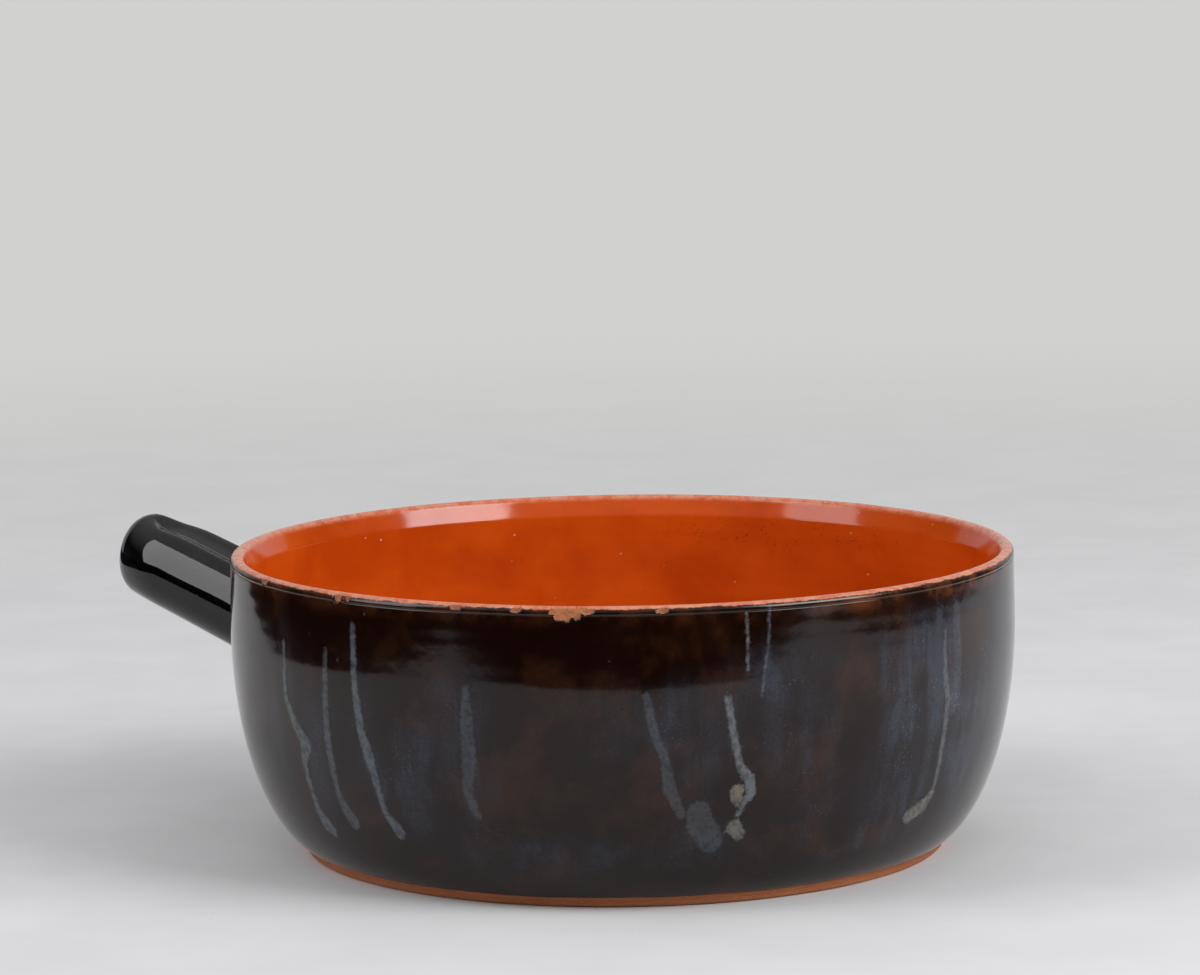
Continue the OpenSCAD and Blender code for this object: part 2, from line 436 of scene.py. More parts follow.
def handle_form(t, u, v):
    """Roughly the distance in mm from the glazed handle's surface, negative inside."""
    slope = (HANDLE_R1 - HANDLE_R0) / (HANDLE_L - NOSE_L)
    radius = np.maximum(HANDLE_R0 + slope * t, HANDLE_R1)
    drop = CROWN_DROP * smooth(44, 62, t) * (u > 0)
    up = u * radius / (radius - drop)
    # Seen from above the nose is rounder than it is from the side
    nose = np.clip((t - HANDLE_L + NOSE_L) / NOSE_L, 0, None)
    side_nose = np.clip((t - HANDLE_L + SIDE_NOSE_L) / SIDE_NOSE_L, 0, 0.97)
    narrow = np.sqrt(np.clip(1 - np.minimum(nose, 0.97) ** NOSE_POWER, 1e-6, 1) / (1 - side_nose**2))
    across = np.hypot(up, v * narrow)
    bar = (np.sqrt((across / radius) ** 2 + nose**NOSE_POWER) - 1) * radius

    share = np.clip(t / GROOVE_L, -0.5, 1)
    groove_r = GROOVE_R0 + (GROOVE_R1 - GROOVE_R0) * share
    groove_up = GROOVE_UP0 + (GROOVE_UP1 - GROOVE_UP0) * share - drop * 0.8
    end = np.clip((t - GROOVE_L) / GROOVE_NOSE_L, 0, None)
    groove = (np.sqrt((np.hypot(u - groove_up, v) / groove_r) ** 2 + end**2) - 1) * groove_r

    hand = 0.14 * noise(np.stack([t * 0.7, u, v], -1), 15.0, 21) + 0.03 * noise(np.stack([t * 0.4, u, v], -1), 5.0, 22)
    return -soft_min(-bar, groove, RIDGE_ROUND) + hand


def wall_form(t, u, v):
    """Distance in mm from the wall's glazed surface, negative inside."""
    p = from_handle(t, u, v)
    z = np.clip(p[..., 2], FOOT_H, GLAZE_LINE)
    tilt = np.interp(z, SKIN[:CREST_AT, 1], SKIN_NORMAL[:CREST_AT, 0])
    return (np.hypot(p[..., 0], p[..., 1]) - wall_radius(z)) * tilt


def rooted_form(t, u, v):
    """The handle with its root rounded into a wall that lies just under the glazed one."""
    return soft_min(handle_form(t, u, v), wall_form(t, u, v) + SKIRT_SINK, ROOT_ROUND)


def walk_out(form, level, origin, step, reach=46.0):
    """Where rays from origin along step, all as (t, u, v), first leave the form at that level."""
    def value(far):
        return form(*(origin[k] + far * step[k] for k in range(3))) - level

    low = np.zeros(step[0].shape)
    high = np.full(step[0].shape, reach)
    found = np.zeros(step[0].shape, bool)
    for far in np.linspace(0, reach, 93)[1:]:
        outside = value(far) > 0
        high = np.where(outside & ~found, far, high)
        found |= outside
        low = np.where(found, low, far)
    for _ in range(18):
        middle = (low + high) / 2
        outside = value(middle) > 0
        high = np.where(outside, middle, high)
        low = np.where(outside, low, middle)
    return [origin[k] + high * step[k] for k in range(3)]


def on_wall(u, v, level):
    """Length t at which a line beside the handle's axis meets the wall at that level."""
    low, high = np.full(u.shape, -14.0), np.full(u.shape, 20.0)
    for _ in range(24):
        middle = (low + high) / 2
        outside = wall_form(middle, u, v) > level
        high = np.where(outside, middle, high)
        low = np.where(outside, low, middle)
    return high


def around_handle():
    """Angles around the handle's axis from its top, closer together over the thumb groove."""
    turn = np.linspace(-math.pi, math.pi, 4001)
    density = 1 + 1.3 * smooth(0.95, 0.7, np.abs(turn))
    total = np.concatenate([[0], np.cumsum((density[1:] + density[:-1]) / 2)])
    return np.interp(np.arange(168) * total[-1] / 168, total, turn)


PSI = around_handle()
ROOT_DEPTH = -12.0
SHAFT_FROM = 17.0
NOSE_FROM = 46.0
ROOT_ROWS = np.linspace(0, 1, 26)
SHAFT_ROWS = np.linspace(SHAFT_FROM, NOSE_FROM, 26)[1:]
NOSE_ROWS = np.radians(np.linspace(90, 1.2, 44))[1:]


def root_rays():
    """Rays from under the wall that swing from the skirt's edge up to straight across the axis."""
    w, psi = np.meshgrid(ROOT_ROWS, PSI, indexing="ij")
    u, v = SKIRT_R * np.cos(psi), SKIRT_R * np.sin(psi)
    lean = (on_wall(u, v, -SKIRT_SINK) - ROOT_DEPTH) / SKIRT_R * (1 - w)
    start = ROOT_DEPTH + (SHAFT_FROM - ROOT_DEPTH) * w
    return (start, 0 * w, 0 * w), (lean, np.cos(psi), np.sin(psi))


def shaft_rays(rows):
    t, psi = np.meshgrid(rows, PSI, indexing="ij")
    return (t, 0 * t, 0 * t), (0 * t, np.cos(psi), np.sin(psi))


def nose_rays():
    angle, psi = np.meshgrid(NOSE_ROWS, PSI, indexing="ij")
    across = np.sin(angle)
    return (np.full(angle.shape, NOSE_FROM), 0 * angle, 0 * angle), (
        np.cos(angle), across * np.cos(psi), across * np.sin(psi))


def form_rows(form, level, rays):
    return from_handle(*walk_out(form, level, *rays))


def tip_point(level):
    one = np.ones((1, 1))
    return form_rows(handle_form, level, ((NOSE_FROM * one, 0 * one, 0 * one), (one, 0 * one, 0 * one)))[0, 0]


# ------------------------------------------------------------------ materials


class Nodes:
    """A material and short ways to add nodes to it. A value is a number, a colour or a socket."""

    def __init__(self, name):
        self.material = bpy.data.materials.new(name)
        self.material.use_nodes = True
        self.tree = self.material.node_tree
        self.tree.nodes.clear()
        self.output = self.add("ShaderNodeOutputMaterial")
        self.coordinates = self.add("ShaderNodeTexCoord").outputs["Object"]

    def add(self, kind, **settings):
        node = self.tree.nodes.new(kind)
        for key, value in settings.items():
            setattr(node, key, value)
        return node

    def feed(self, socket, value):
        if isinstance(value, bpy.types.NodeSocket):
            self.tree.links.new(value, socket)
        elif isinstance(value, tuple) and len(value) == 3 and socket.type == "RGBA":
            socket.default_value = (*value, 1)
        else:
            socket.default_value = value

    def math(self, operation, a, b=0.0, c=0.0, clamp=False):
        node = self.add("ShaderNodeMath", operation=operation, use_clamp=clamp)
        for socket, value in zip(node.inputs, (a, b, c)):
            self.feed(socket, value)
        return node.outputs[0]

    def times(self, a, *more):
        for b in more:
            a = self.math("MULTIPLY", a, b)
        return a

    def plus(self, a, *more):
        for b in more:
            a = self.math("ADD", a, b)
        return a

    def step(self, value, low, high, to_low=0.0, to_high=1.0):
        """to_low at low and below, to_high at high and above, and smooth between."""
        node = self.add("ShaderNodeMapRange", interpolation_type="SMOOTHSTEP")
        for key, given in (("Value", value), ("From Min", low), ("From Max", high),
                           ("To Min", to_low), ("To Max", to_high)):
            self.feed(node.inputs[key], given)
        return node.outputs["Result"]

    def stretched(self, scale, turn=(0, 0, 0)):
        node = self.add("ShaderNodeMapping")
        self.feed(node.inputs["Vector"], self.coordinates)
        node.inputs["Rotation"].default_value = turn
        node.inputs["Scale"].default_value = scale
        return node.outputs["Vector"]

    def noise(self, size_mm, detail=2.0, roughness=0.5, where=None, distortion=0.0):
        node = self.add("ShaderNodeTexNoise")
        self.feed(node.inputs["Vector"], where or self.coordinates)
        node.inputs["Scale"].default_value = 1 / (size_mm * MM)
        node.inputs["Detail"].default_value = detail
        node.inputs["Roughness"].default_value = roughness
        node.inputs["Distortion"].default_value = distortion
        return node.outputs["Fac"]

    def cells(self, size_mm, feature="F1", output="Distance", where=None, randomness=1.0):
        node = self.add("ShaderNodeTexVoronoi", feature=feature)
        self.feed(node.inputs["Vector"], where or self.coordinates)
        node.inputs["Scale"].default_value = 1 / (size_mm * MM)
        node.inputs["Randomness"].default_value = randomness
        return node.outputs[output]

    def mix(self, share, a, b):
        node = self.add("ShaderNodeMix", data_type="RGBA")
        self.feed(node.inputs["Factor"], share)
        self.feed(node.inputs["A"], a)
        self.feed(node.inputs["B"], b)
        return node.outputs["Result"]

    def field(self, name):
        return self.add("ShaderNodeAttribute", attribute_name=name).outputs["Fac"]

    def place(self):
        """Height in mm and distance from the vessel's axis in mm."""
        parts = self.add("ShaderNodeSeparateXYZ")
        self.feed(parts.inputs[0], self.coordinates)
        x, y, z = parts.outputs
        radius = self.math("SQRT", self.plus(self.times(x, x), self.times(y, y)))
        return self.times(z, 1 / MM), self.times(radius, 1 / MM)

    def bump(self, height, strength, distance_mm, below=None):
        node = self.add("ShaderNodeBump")
        node.inputs["Strength"].default_value = strength
        node.inputs["Distance"].default_value = distance_mm * MM
        self.feed(node.inputs["Height"], height)
        if below is not None:
            self.feed(node.inputs["Normal"], below)
        return node.outputs["Normal"]

    def surface(self, **values):
        shader = self.add("ShaderNodeBsdfPrincipled")
        for key, value in values.items():
            self.feed(shader.inputs[key.replace("_", " ")], value)
        self.tree.links.new(shader.outputs[0], self.output.inputs["Surface"])
        return self.material


DARK = (0.0080, 0.0022, 0.0010)
RUST = (0.0270, 0.0090, 0.0030)
# The haze's bluish grey also holds a painted reflection of the pale table.
HAZE_AND_REFLECTION = (0.0330, 0.0380, 0.0560)
SILVER = (0.1150, 0.1400, 0.1650)
STRAW = (0.2300, 0.1750, 0.0750)
BRONZE = (0.1500, 0.0420, 0.0120)
ORANGE = (0.6600, 0.0950, 0.0060)
DEEP_ORANGE = (0.5200, 0.0620, 0.0035)
PINK = (0.7200, 0.2900, 0.1700)
PALE_CLAY = (0.6200, 0.3000, 0.1850)


def dark_coat(n):
    """Colour and roughness of the dark glaze, with its haze, partly a painted reflection of the table, and runs."""
    z, radius = n.place()
    streaks = n.noise(7, 3, 0.6, n.stretched((1, 1, 0.16)))
    mottle = n.noise(16, 4, 0.6)
    grain = n.noise(0.9, 2, 0.7)
    dots = n.cells(1.5)
    haze_and_reflection = n.times(n.field("haze_and_reflection"), n.step(streaks, 0.36, 0.66, 0.25, 1.25), n.step(mottle, 0.34, 0.62, 0.35, 1.15),
                   n.step(grain, 0.3, 0.7, 0.55, 1.2))
    speckle = n.times(n.step(dots, 0.26, 0.1), n.step(n.noise(9, 2), 0.48, 0.66), n.field("haze_and_reflection"))
    edge = n.plus(n.field("run_edge"), n.times(n.plus(n.noise(1.3, 3, 0.65), -0.5), 2.2))
    run = n.times(n.step(edge, 0.55, -0.55), n.field("run_gain"), n.step(n.noise(1.8, 2, 0.6), 0.3, 0.62, 0.45, 1.0))
    froth = n.step(n.cells(1.7, "DISTANCE_TO_EDGE"), 0.02, 0.13, 1.0, 0.35)
    warm = n.field("run_warm")

    colour = n.mix(n.step(n.noise(21, 4, 0.62), 0.46, 0.68), DARK, RUST)
    # Bluish haze: the glaze's own film, and partly a painted reflection of the table.
    colour = n.mix(n.math("MINIMUM", haze_and_reflection, 0.92), colour, HAZE_AND_REFLECTION)
    colour = n.mix(n.math("MINIMUM", n.plus(run, n.times(speckle, 0.5)), 0.96), colour, SILVER)
    colour = n.mix(n.times(run, warm, froth), colour, STRAW)
    thin = n.times(n.step(z, 83.5, 89.5), n.step(n.noise(11, 4, 0.65), 0.40, 0.66), n.field("thin"))
    colour = n.mix(thin, colour, BRONZE)
    rough = n.plus(n.times(haze_and_reflection, 0.10), n.times(run, 0.12), 0.075)
    return colour, rough


def dark_relief(n):
    """Normal of the dark glaze: a slight waviness, and a few pits and pimples."""
    wave = n.bump(n.noise(5, 2, 0.5), 0.10, 0.22)
    pits = n.times(n.step(n.cells(6.5), 0.075, 0.03), n.step(n.noise(14, 1), 0.5, 0.56))
    return n.bump(pits, 0.55, 0.25, wave)


def clay_colour(n, base, dark):
    """Bare terracotta: blotches, sand grains and fine pores."""
    colour = n.mix(n.noise(9, 4, 0.6), base, dark)
    sand = n.step(n.cells(0.8), 0.22, 0.10)
    colour = n.mix(n.times(sand, 0.45), colour, (0.72, 0.50, 0.34))
    pores = n.step(n.cells(1.7), 0.16, 0.08)
    return n.mix(n.times(pores, 0.7), colour, (0.10, 0.035, 0.018))


def make_dark_glaze():
    n = Nodes("dark_glaze_look")
    colour, rough = dark_coat(n)
    return n.surface(Base_Color=colour, Roughness=rough, IOR=1.5, Specular_IOR_Level=0.35, Normal=dark_relief(n))


def make_orange_glaze():
    n = Nodes("orange_glaze_look")
    z, radius = n.place()
    colour = n.mix(n.step(n.noise(30, 4, 0.6), 0.35, 0.7), ORANGE, DEEP_ORANGE)
    rings = n.noise(5, 3, 0.6, n.stretched((0.05, 0.05, 1)))
    colour = n.mix(n.step(rings, 0.45, 0.75, 0.0, 0.35), colour, DEEP_ORANGE)
    soot = n.times(n.step(n.cells(1.15), 0.34, 0.16), n.step(n.noise(4, 3, 0.6), 0.44, 0.60), n.field("soot"))
    colour = n.mix(n.math("MINIMUM", soot, 0.75), colour, (0.16, 0.03, 0.006))
    fleck = n.times(n.step(n.cells(5.2), 0.085, 0.045), n.step(n.noise(15, 2), 0.50, 0.58))
    scratch = n.times(n.step(n.cells(4.4, where=n.stretched((1, 0.22, 0.9), (0.3, 0.5, 0.8))), 0.05, 0.025),
                      n.step(n.noise(12, 2), 0.50, 0.60))
    colour = n.mix(n.math("MINIMUM", n.plus(n.times(fleck, 0.8), n.times(scratch, 0.6)), 0.9), colour, (0.80, 0.55, 0.42))

    # The crest is worn thin and pale, and outside it the dark coat begins along a ragged line
    crest = n.step(z, 88.9, 90.6)
    worn = n.times(crest, n.step(n.noise(3.4, 4, 0.7), 0.36, 0.60, 0.30, 0.95))
    colour = n.mix(worn, colour, PINK)
    # Small near-white marks along the crest are a painted highlight: glints on the lip, not bared clay.
    crest_glints = n.times(crest, n.step(n.cells(2.1, where=n.stretched((0.5, 0.5, 1.4))), 0.13, 0.06),
                    n.step(n.noise(16, 2), 0.5, 0.6))
    colour = n.mix(n.times(crest_glints, 0.85), colour, (0.86, 0.74, 0.66))
    dark, dark_rough = dark_coat(n)
    ragged = n.plus(z, n.times(n.plus(n.noise(1.6, 4, 0.75), -0.5), 1.1), n.times(n.plus(n.noise(7, 2), -0.5), 0.9))
    outside = n.step(radius, CREST_R + 0.9, CREST_R + 1.5)
    covered = n.times(outside, n.step(ragged, 90.5, 90.2))
    colour = n.mix(covered, colour, dark)
    rough = n.plus(0.11, n.times(worn, 0.16))
    wave = n.bump(n.noise(6, 2, 0.5), 0.12, 0.25)
    fine = n.bump(n.times(n.noise(0.9, 3, 0.6), crest), 0.35, 0.12, wave)
    return n.surface(Base_Color=colour, Roughness=rough, IOR=1.5, Specular_IOR_Level=0.45, Normal=fine)


def make_black_glaze():
    n = Nodes("black_glaze_look")
    motes = n.times(n.step(n.cells(1.3), 0.22, 0.08), n.step(n.noise(8, 2), 0.50, 0.64))
    colour = n.mix(n.step(n.noise(14, 3, 0.6), 0.45, 0.7), (0.0012, 0.0010, 0.0011), (0.0040, 0.0026, 0.0022))
    colour = n.mix(n.times(motes, 0.8), colour, (0.022, 0.028, 0.050))
    bloom = n.times(n.step(n.noise(11, 3, 0.6), 0.50, 0.72), 0.35)
    colour = n.mix(bloom, colour, (0.010, 0.013, 0.022))
    wave = n.bump(n.noise(4.5, 2, 0.5), 0.10, 0.25)
    pits = n.times(n.step(n.cells(5.0), 0.08, 0.03), n.step(n.noise(12, 1), 0.5, 0.56))
    return n.surface(Base_Color=colour, Roughness=n.plus(0.05, n.times(motes, 0.2)), IOR=1.5,
                     Specular_IOR_Level=0.5, Normal=n.bump(pits, 0.5, 0.2, wave))


def make_clay(name, base, dark):
    n = Nodes(name)
    z, radius = n.place()
    colour = clay_colour(n, base, dark)
    # Trimming rings on the underside and the foot
    rings = n.add("ShaderNodeTexNoise", noise_dimensions="1D")
    n.feed(rings.inputs["W"], n.times(radius, 0.9))
    rings.inputs["Detail"].default_value = 4
    under = n.step(z, 3.0, 2.0)
    colour = n.mix(n.times(under, n.step(rings.outputs["Fac"], 0.45, 0.7, 0.0, 0.5)), colour, dark)
    height = n.plus(n.times(rings.outputs["Fac"], under), n.times(n.noise(0.7, 4, 0.7), 0.6))
    grit = n.bump(height, 0.6, 0.35)
    return n.surface(Base_Color=colour, Roughness=0.85, Specular_IOR_Level=0.25, Normal=grit)


DARK_GLAZE = make_dark_glaze()
ORANGE_GLAZE = make_orange_glaze()
BLACK_GLAZE = make_black_glaze()
BODY_CLAY = make_clay("vessel_clay_look", (0.50, 0.19, 0.085), (0.36, 0.12, 0.05))
HANDLE_CLAY = make_clay("handle_clay_look", (0.50, 0.20, 0.09), (0.38, 0.13, 0.055))
SLIP_CLAY = make_clay("slip_clay_look", (0.44, 0.17, 0.08), (0.33, 0.11, 0.05))


# ------------------------------------------------------------------ the vessel's pieces


def glaze_sink(flat, depth):
    """Depth of a coat's surface, which dives under the clay where a chip has taken the glaze."""
    field = chip_field(flat)
    gone = field < 0
    return np.where(gone, depth + GLAZE_T + chip_depth(field) + 0.3, depth)


def coat_grid(rows, depth, relief=None):
    """Points of one side of a coat, for outline lengths of shape (rows, columns)."""
    theta = np.broadcast_to(THETA, rows.shape)
    _, flat = skin_points(rows, theta)
    lift = 0.0 if relief is None else relief(theta, height_at(rows))
    points, _ = skin_points(rows, theta, glaze_sink(flat, depth), lift)
    return points


def make_body():
    """Fired clay: underside, foot, and the wall and lip under the coats."""
    under_r = np.concatenate([np.linspace(0, FOOT_R - FOOT_EDGE, 26)[1:]])
    under = [(r, 0.0) for r in under_r]
    foot = [(FOOT_R - FOOT_EDGE * 0.35, FOOT_EDGE * 0.3), (FOOT_R, FOOT_EDGE)]
    top_r = float(np.interp(0, S, SKIN[:, 0])) - GLAZE_T
    foot += [(FOOT_R + (top_r - FOOT_R) * t, FOOT_EDGE + (FOOT_H + 0.1 - FOOT_EDGE) * t) for t in (0.33, 0.66)]
    base = np.array(under + foot)
    ring = np.stack([base[:, None, 0] * np.cos(THETA), base[:, None, 0] * np.sin(THETA),
                     np.repeat(base[:, 1:], len(THETA), 1)], -1)
    # The turned foot isn't quite even, and its trimmed face has shallow rings
    marks = 0.10 * noise(ring, 12.0, 31) + 0.05 * noise(ring, 3.0, 32)
    shallow = 0.06 * (1 + np.sin(base[:, 0] * 0.9)) * smooth(FOOT_R - 4, FOOT_R - 12, base[:, 0])
    ring[..., 2] += np.where(base[:, None, 1] == 0, shallow[:, None], 0)
    out = ring[..., :2] / base[:, None, 0, None]
    ring[..., :2] += out * np.where(base[:, None, 1] > 0, marks, 0)[..., None]

    rows = lengthwise([(0.3, S_LINE - 4, 3.0), (S_LINE - 4, S_CREASE, 0.45), (S_CREASE, S_FLOOR, 4.0), (S_FLOOR, S[-1] - 1, 9.0)])
    rows = np.broadcast_to(rows[:, None], (len(rows), len(THETA)))
    theta = np.broadcast_to(THETA, rows.shape)
    _, flat = skin_points(rows, theta)
    field = chip_field(flat)
    broken = field < 0.3
    rough = 0.10 * noise(flat, 0.9, 33) + 0.14 * noise(flat, 2.1, 34)
    points, _ = skin_points(rows, theta, GLAZE_T + chip_depth(field), np.where(broken, rough * smooth(0.3, -0.6, field), 0))
    vertices, faces = tube(np.concatenate([ring, points]), first=(0, 0, 0), last=(0, 0, FLOOR_T))
    add_piece("pot_body", vertices, faces, BODY_CLAY, "body")


def run_relief(theta, z):
    edge, gain, _ = run_fields(theta, z)
    return smooth(0.8, -1.6, edge) * gain * 0.11


def surface_fields(theta, z):
    """The vertex values that the dark glaze's material reads."""
    edge, gain, warm = run_fields(theta, z)
    degrees = front_degrees(theta)
    thin = 0.25 + 0.75 * smooth(22, 44, degrees) * smooth(120, 84, degrees) + 0.35 * smooth(-40, -62, degrees)
    # The haze values carry a painted reflection of the table as well as the glaze's own film.
    return {"run_edge": edge, "run_gain": gain, "run_warm": warm, "haze_and_reflection": haze_and_reflection_field(theta, z), "thin": thin}


def make_outer_coat():
    """The dark coat: its lower edge is a soft, uneven bead, and it is open under the handle."""
    share = lengthwise([(0, 0.03, 0.004), (0.03, 0.90, 0.0135), (0.90, 1, 0.0042)])
    flat_start = np.stack([FOOT_R * np.cos(THETA), FOOT_R * np.sin(THETA), 0 * THETA], -1)
    start = 0.45 + 0.35 * noise(flat_start, 26.0, 41) + 0.15 * noise(flat_start, 7.0, 42)
    end = S_LINE - GLAZE_GAP / 2
    rows = start + (end - start) * share[:, None]
    outside = coat_grid(rows, 0.0, run_relief)
    bead = np.sqrt(np.clip((rows - start) / 1.2, 0, 1))
    inside = coat_grid(rows, GLAZE_T)
    outside = inside + (outside - inside) * np.maximum(bead, 0.12)[..., None]

    stack = np.concatenate([outside, inside[::-1]])
    vertices, faces = tube(stack, loop=True)
    faces = np.array(faces)

    # Open the coat where the handle's root and its slip sit on the clay
    c, n = math.cos(HANDLE_TILT), math.sin(HANDLE_TILT)
    x, y, z = outside[..., 0] + RIM_R, outside[..., 1], outside[..., 2] - HANDLE_Z
    off = handle_form(-c * x + n * z, n * x + c * z, y)
    covered = (off < 1.8) & (outside[..., 0] < 0)
    both = np.concatenate([covered, covered[::-1]]).reshape(-1)
    hidden = both[faces].all(axis=1)
    kept = faces[~hidden]
    count, around = rows.shape
    back = lambda index: (2 * count - 1 - index // around) * around + index % around
    edges = {}
    for face in kept[(kept < count * around).all(axis=1)].tolist():
        for a, b in zip(face, face[1:] + face[:1]):
            edges[(a, b)] = True
    walls = []
    for a, b in edges:
        if (b, a) not in edges and both[a] and both[b]:
            walls.append([b, a, back(a), back(b)])
    faces = kept.tolist() + walls
    used = np.unique(np.array([v for f in faces for v in f]))
    renumber = np.full(len(vertices), -1)
    renumber[used] = np.arange(len(used))
    faces = [[int(renumber[v]) for v in f] for f in faces]

    theta = np.broadcast_to(THETA, rows.shape)
    fields = {k: np.concatenate([v, v[::-1]]).reshape(-1)[used] for k, v in surface_fields(theta, height_at(rows)).items()}
    add_piece("outer_glaze_coat", vertices[used], faces, DARK_GLAZE, "outer_glaze", fields)


# Clusters of dark specks on the inside: angle, height, half width in degrees, half height in mm
SOOT = [(150, 79, 5, 4), (141, 80, 4, 4), (158, 79, 6, 5), (167, 80, 6, 5), (133, 79, 5, 3), (-20, 40, 14, 20), (60, 30, 20, 14)]


def make_inner_coat():
    """The clear orange coat over the floor, the inside and the lip."""
    start = S_LINE + GLAZE_GAP / 2
    single = lengthwise([(start, S_CREASE + 1.5, 0.4), (S_CREASE + 1.5, S_FLOOR, 2.1), (S_FLOOR, S[-1] - 1, 5.5)])
    rows = np.broadcast_to(single[:, None], (len(single), len(THETA)))
    outside = coat_grid(rows, 0.0)
    inside = coat_grid(rows, GLAZE_T)
    # The shell runs from the centre of its hidden side out, over the lip's lower edge, and back in
    stack = np.concatenate([inside[::-1], outside])
    middle = FLOOR_T + GLAZE_T
    vertices, faces = tube(stack, first=(0, 0, middle - GLAZE_T), last=(0, 0, middle))
    theta = np.broadcast_to(THETA, rows.shape)
    z = height_at(rows)
    fields = surface_fields(theta, z)
    degrees = front_degrees(theta)
    soot = np.zeros(theta.shape)
    for a, height, half_a, half_z in SOOT:
        soot += np.exp(-(((degrees - a) / half_a) ** 2) - ((z - height) / half_z) ** 2)
    fields["soot"] = np.where(rows > S_CREST, soot, 0)
    fields = {k: np.concatenate([v[::-1], v]).reshape(-1) for k, v in fields.items()}
    add_piece("inner_glaze_coat", vertices, faces, ORANGE_GLAZE, "inner_glaze", fields)


make_body()
make_outer_coat()
make_inner_coat()


# ------------------------------------------------------------------ the handle's pieces


def make_handle_coat():
    """The black coat over the handle and its rounded root."""
    rays = root_rays(), shaft_rays(SHAFT_ROWS), nose_rays()
    outside = [form_rows(rooted_form, 0.0, rays[0]), form_rows(handle_form, 0.0, rays[1]),
               form_rows(handle_form, 0.0, rays[2])]
    depth = -GLAZE_T * smooth(0, 0.3, ROOT_ROWS)[:, None]
    inside = [form_rows(rooted_form, depth, rays[0]), form_rows(handle_form, -GLAZE_T, rays[1]),
              form_rows(handle_form, -GLAZE_T, rays[2])]
    outside, inside = np.concatenate(outside), np.concatenate(inside)
    stack = np.concatenate([inside[:0:-1], outside])
    vertices, faces = tube(stack, first=tip_point(-GLAZE_T), last=tip_point(0.0))
    add_piece("handle_glaze_coat", vertices, faces, BLACK_GLAZE, "handle_glaze")


def clay_side():
    """Rows of the clay handle's side from its cut root up to where the plain shaft begins."""
    def radius_at(t):
        origin, step = (t, 0 * t, 0 * t), (0 * t, np.cos(PSI)[None], np.sin(PSI)[None])
        _, u, v = walk_out(handle_form, -GLAZE_T, origin, step)
        return u, v

    t = np.zeros((1, len(PSI)))
    for _ in range(6):
        u, v = radius_at(t)
        t = on_wall(u, v, SLIP_T - GLAZE_T)
    rows = t + (SHAFT_FROM - t) * np.linspace(0, 1, 8)[:, None]
    psi = np.broadcast_to(PSI, rows.shape)
    return walk_out(handle_form, -GLAZE_T, (rows, 0 * rows, 0 * rows), (0 * rows, np.cos(psi), np.sin(psi)))


def disc(u, v, level, count):
    """Rows on the wall at that level, from near the handle's axis out to the ring (u, v)."""
    share = np.linspace(0, 1, count + 1)[1:, None]
    u, v = u * share, v * share
    return from_handle(on_wall(u, v, level), u, v)


def on_axis(level):
    zero = np.zeros(1)
    return from_handle(on_wall(zero, zero, level), zero, zero)[0]


def make_handle_clay():
    side = clay_side()
    cap = disc(side[1][0], side[2][0], SLIP_T - GLAZE_T, 8)
    rows = np.concatenate([cap[:-1], from_handle(*side), form_rows(handle_form, -GLAZE_T, shaft_rays(SHAFT_ROWS)),
                           form_rows(handle_form, -GLAZE_T, nose_rays())])
    vertices, faces = tube(rows, first=on_axis(SLIP_T - GLAZE_T), last=tip_point(-GLAZE_T))
    add_piece("handle_clay", vertices, faces, HANDLE_CLAY, "handle")


def make_slip():
    """The bed under the handle's root and the fillet worked up around it."""
    side = clay_side()
    depth = -GLAZE_T * smooth(0, 0.3, ROOT_ROWS)[:, None]
    origin, step = root_rays()
    fillet = walk_out(rooted_form, depth, origin, step)
    first = 5
    fillet = [part[first:] for part in fillet]
    bed = disc(fillet[1][0], fillet[2][0], -GLAZE_T, 10)
    inner = from_handle(*side)[::-1]
    cap = disc(side[1][0], side[2][0], SLIP_T - GLAZE_T, 8)[::-1]
    rows = np.concatenate([bed, from_handle(*fillet), inner[1:], cap[1:]])
    vertices, faces = tube(rows, first=on_axis(-GLAZE_T), last=on_axis(SLIP_T - GLAZE_T))
    add_piece("handle_slip_fillet", vertices, faces, SLIP_CLAY, "handle_slip")


make_handle_coat()
make_handle_clay()
make_slip()


# ------------------------------------------------------------------ studio

TURN = Matrix.Rotation(math.radians(FRONT_TURN), 4, "Z")
BACKGROUND = (0.640, 0.640, 0.625)
TABLE_LEFT, TABLE_RIGHT, TABLE_FRONT = -0.50, 0.62, -0.48
LOOK_AT = Vector((0, 0, 0.05))


def add_object(name, data):
    made = bpy.data.objects.new(name, data)
    bpy.context.scene.collection.objects.link(made)
    return made


def make_camera():
    yaw, pitch, roll = CAMERA_YAW, CAMERA_PITCH, CAMERA_ROLL
    ahead = Vector((math.sin(yaw) * math.cos(pitch), math.cos(yaw) * math.cos(pitch), -math.sin(pitch)))
    level = Vector((math.cos(yaw), -math.sin(yaw), 0))
    up = level.cross(ahead)
    right = level * math.cos(roll) + up * math.sin(roll)
    up = up * math.cos(roll) - level * math.sin(roll)
    data = bpy.data.cameras.new("camera")
    data.sensor_width = 36
    data.lens = LENS
    data.clip_start, data.clip_end = 0.05, 60
    camera = add_object("camera", data)
    turned = Matrix((right, up, -ahead)).transposed().to_4x4()
    turned.translation = Vector((0, -CAMERA_DISTANCE, CAMERA_HEIGHT)) * MM
    camera.matrix_world = TURN @ turned
    bpy.context.scene.camera = camera


